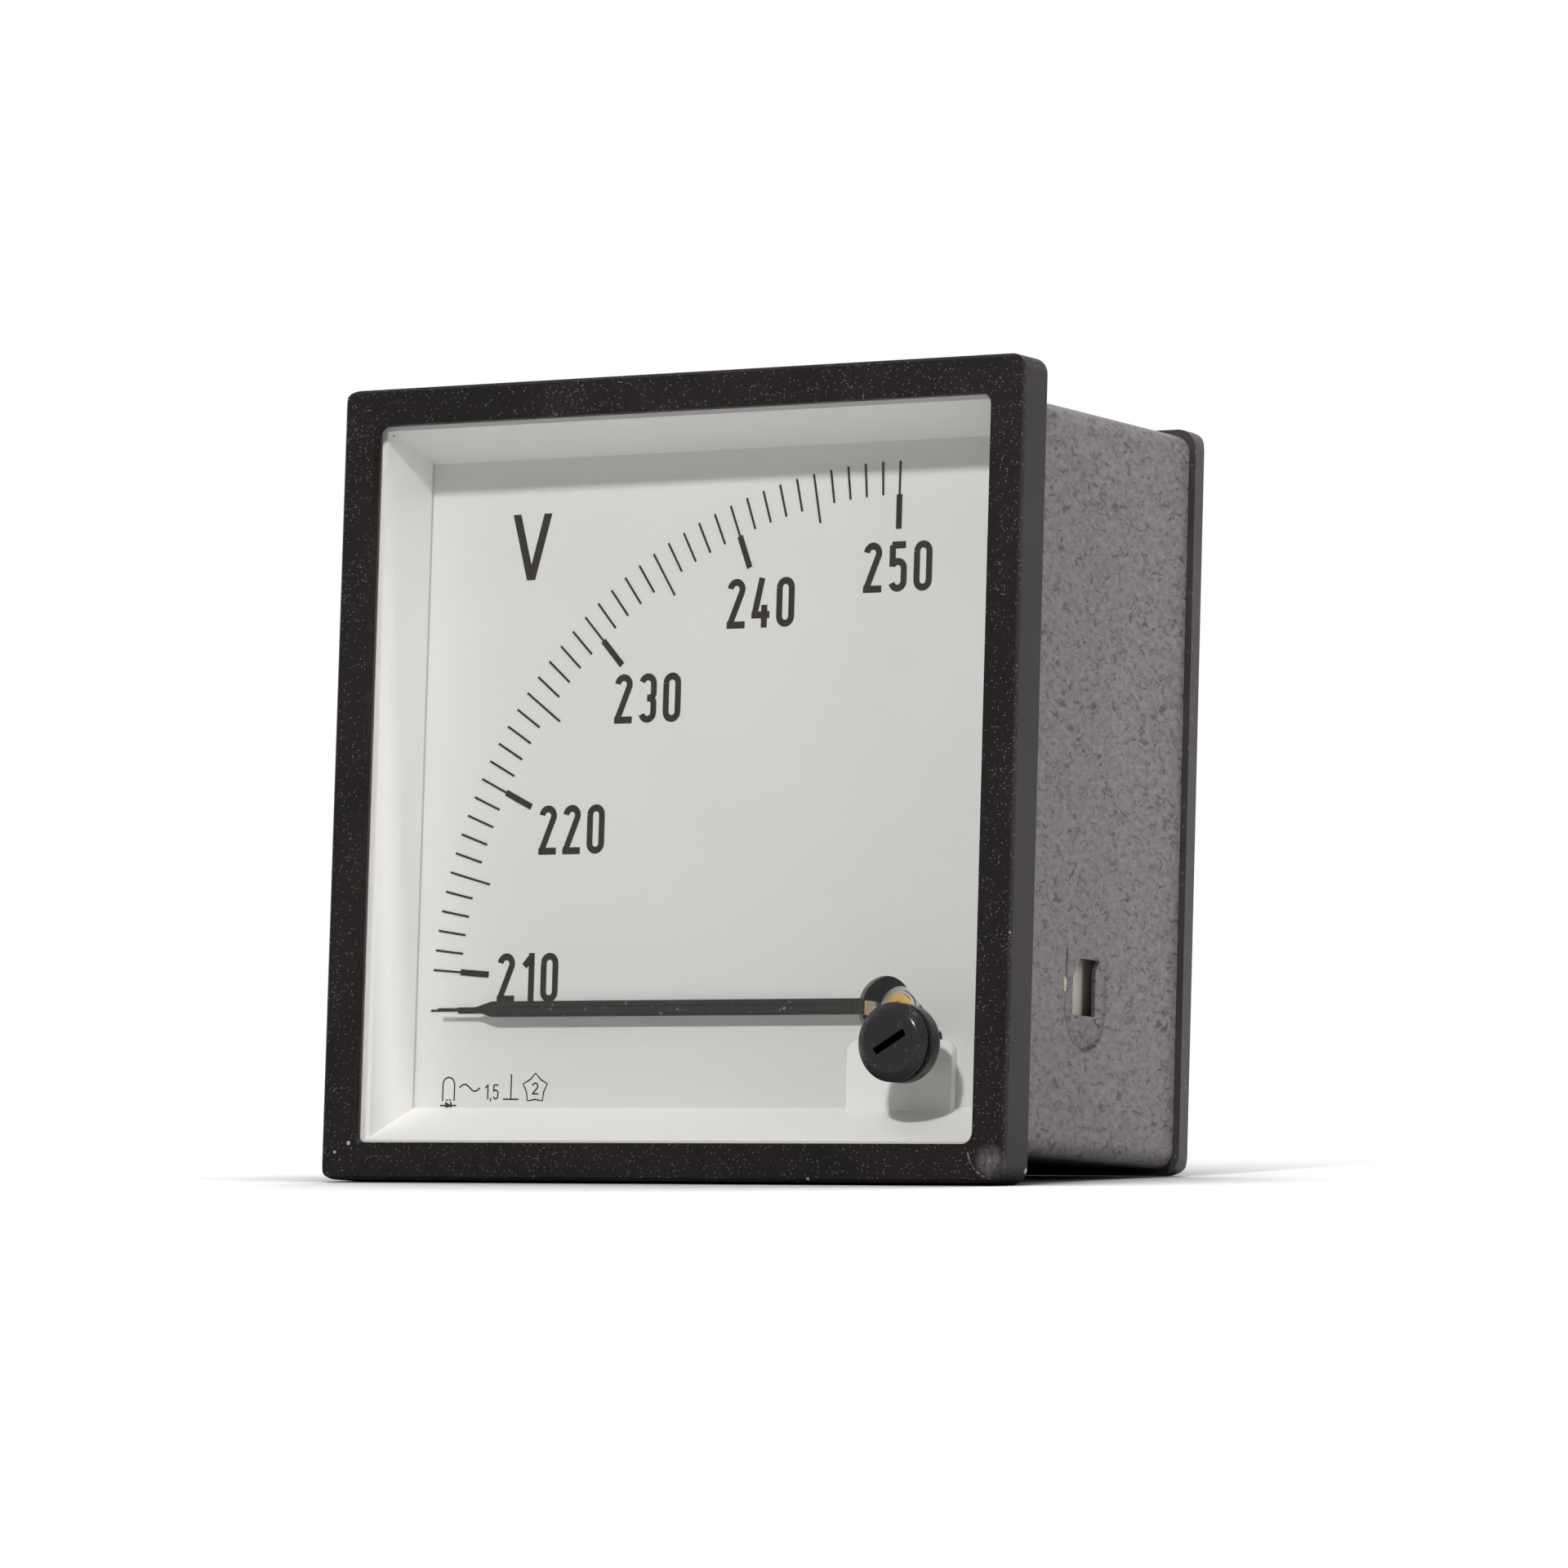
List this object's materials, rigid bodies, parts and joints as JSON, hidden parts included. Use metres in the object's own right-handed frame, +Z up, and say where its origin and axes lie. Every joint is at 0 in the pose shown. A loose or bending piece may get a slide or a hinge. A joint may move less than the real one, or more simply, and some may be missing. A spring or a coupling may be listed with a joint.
{
  "type": "analog panel meter",
  "caption": "Square analog panel meter: quarter-circle dial, pointer pivoted in the lower right corner, zero adjuster, steel case with hook slots and stud terminals.",
  "frame": {"origin": "centre of the front frame's rear face, which seats on the panel", "axes": "+Z up, front towards -Y, +X to the right as seen from the front"},
  "size_m": [0.096, 0.0616, 0.096],
  "materials": {
    "frame_plastic": "matte",
    "glass": "clear",
    "mask_plastic": "matte",
    "dial_paint": "painted matte white",
    "dial_ink": "printed",
    "case_paint": "hammertone grey",
    "cover_plastic": "matte",
    "zinc_steel": "zinc plated",
    "carrier_plastic": "matte",
    "soft_iron": "plain",
    "magnet_alloy": "ground",
    "brass": "plain",
    "bridge_metal": "nickel plated",
    "pointer_paint": "painted matte black",
    "light_alloy": "plain",
    "pivot_steel": "polished",
    "coil_wire": "enamelled copper",
    "spring_bronze": "plain",
    "adjuster_plastic": "gloss",
    "board_laminate": "plain",
    "resistor_ceramic": "matte",
    "diode_plastic": "gloss",
    "capacitor_sleeve": "gloss"
  },
  "bodies": {
    "housing": {"bezel": "frame_plastic", "window_glass": "glass", "liner": "mask_plastic", "dial_plate": "dial_paint", "dial_scale": "dial_ink", "case": "case_paint", "rear_cover": "cover_plastic", "cover_screws": "zinc_steel", "bridge_screws": "zinc_steel", "rear_bridge_screws": "zinc_steel", "terminal_washers": "zinc_steel", "movement_carrier": "carrier_plastic", "yoke_ring": "soft_iron", "core_magnet": "magnet_alloy", "core_support": "brass", "bridge_posts": "brass", "front_jewel_screw": "brass", "rear_jewel_screw": "brass", "terminal_studs": "brass", "terminal_nuts": "brass", "terminal_straps": "brass", "front_bridge": "bridge_metal", "rear_bridge": "bridge_metal", "circuit_board": "board_laminate", "series_resistors": "resistor_ceramic", "rectifier_diodes": "diode_plastic", "smoothing_capacitor": "capacitor_sleeve"},
    "moving_element": {"pointer": "pointer_paint", "pointer_arm": "light_alloy", "front_pivot": "pivot_steel", "rear_pivot": "pivot_steel", "coil": "coil_wire", "front_hairspring": "spring_bronze", "rear_hairspring": "spring_bronze", "balance_cross": "light_alloy", "balance_weights": "brass"},
    "zero_lever": {"zero_lever": "bridge_metal"},
    "zero_adjuster": {"zero_adjuster": "adjuster_plastic", "adjuster_collar": "adjuster_plastic"}
  },
  "joints": [
    {"name": "pointer_swing", "type": "hinge", "parent": "housing", "child": "moving_element", "pos_m": [0.0242, 0.013, -0.0269], "axis": [0, 1, 0], "range_deg": [-2, 93], "stiffness_Nm_per_rad": 0.0002},
    {"name": "zero_adjust_turn", "type": "hinge", "parent": "housing", "child": "zero_adjuster", "pos_m": [0.0319, -0.0032, -0.0317], "axis": [0, 1, 0], "range_deg": [-25, 25]},
    {"name": "zero_lever_swing", "type": "hinge", "parent": "housing", "child": "zero_lever", "pos_m": [0.0242, 0.0106, -0.0269], "axis": [0, 1, 0], "range_deg": [-7, 7]}
  ],
  "couplings": [
    {"joint": "zero_lever_swing", "follows": "zero_adjust_turn", "ratio": -0.265}
  ]
}
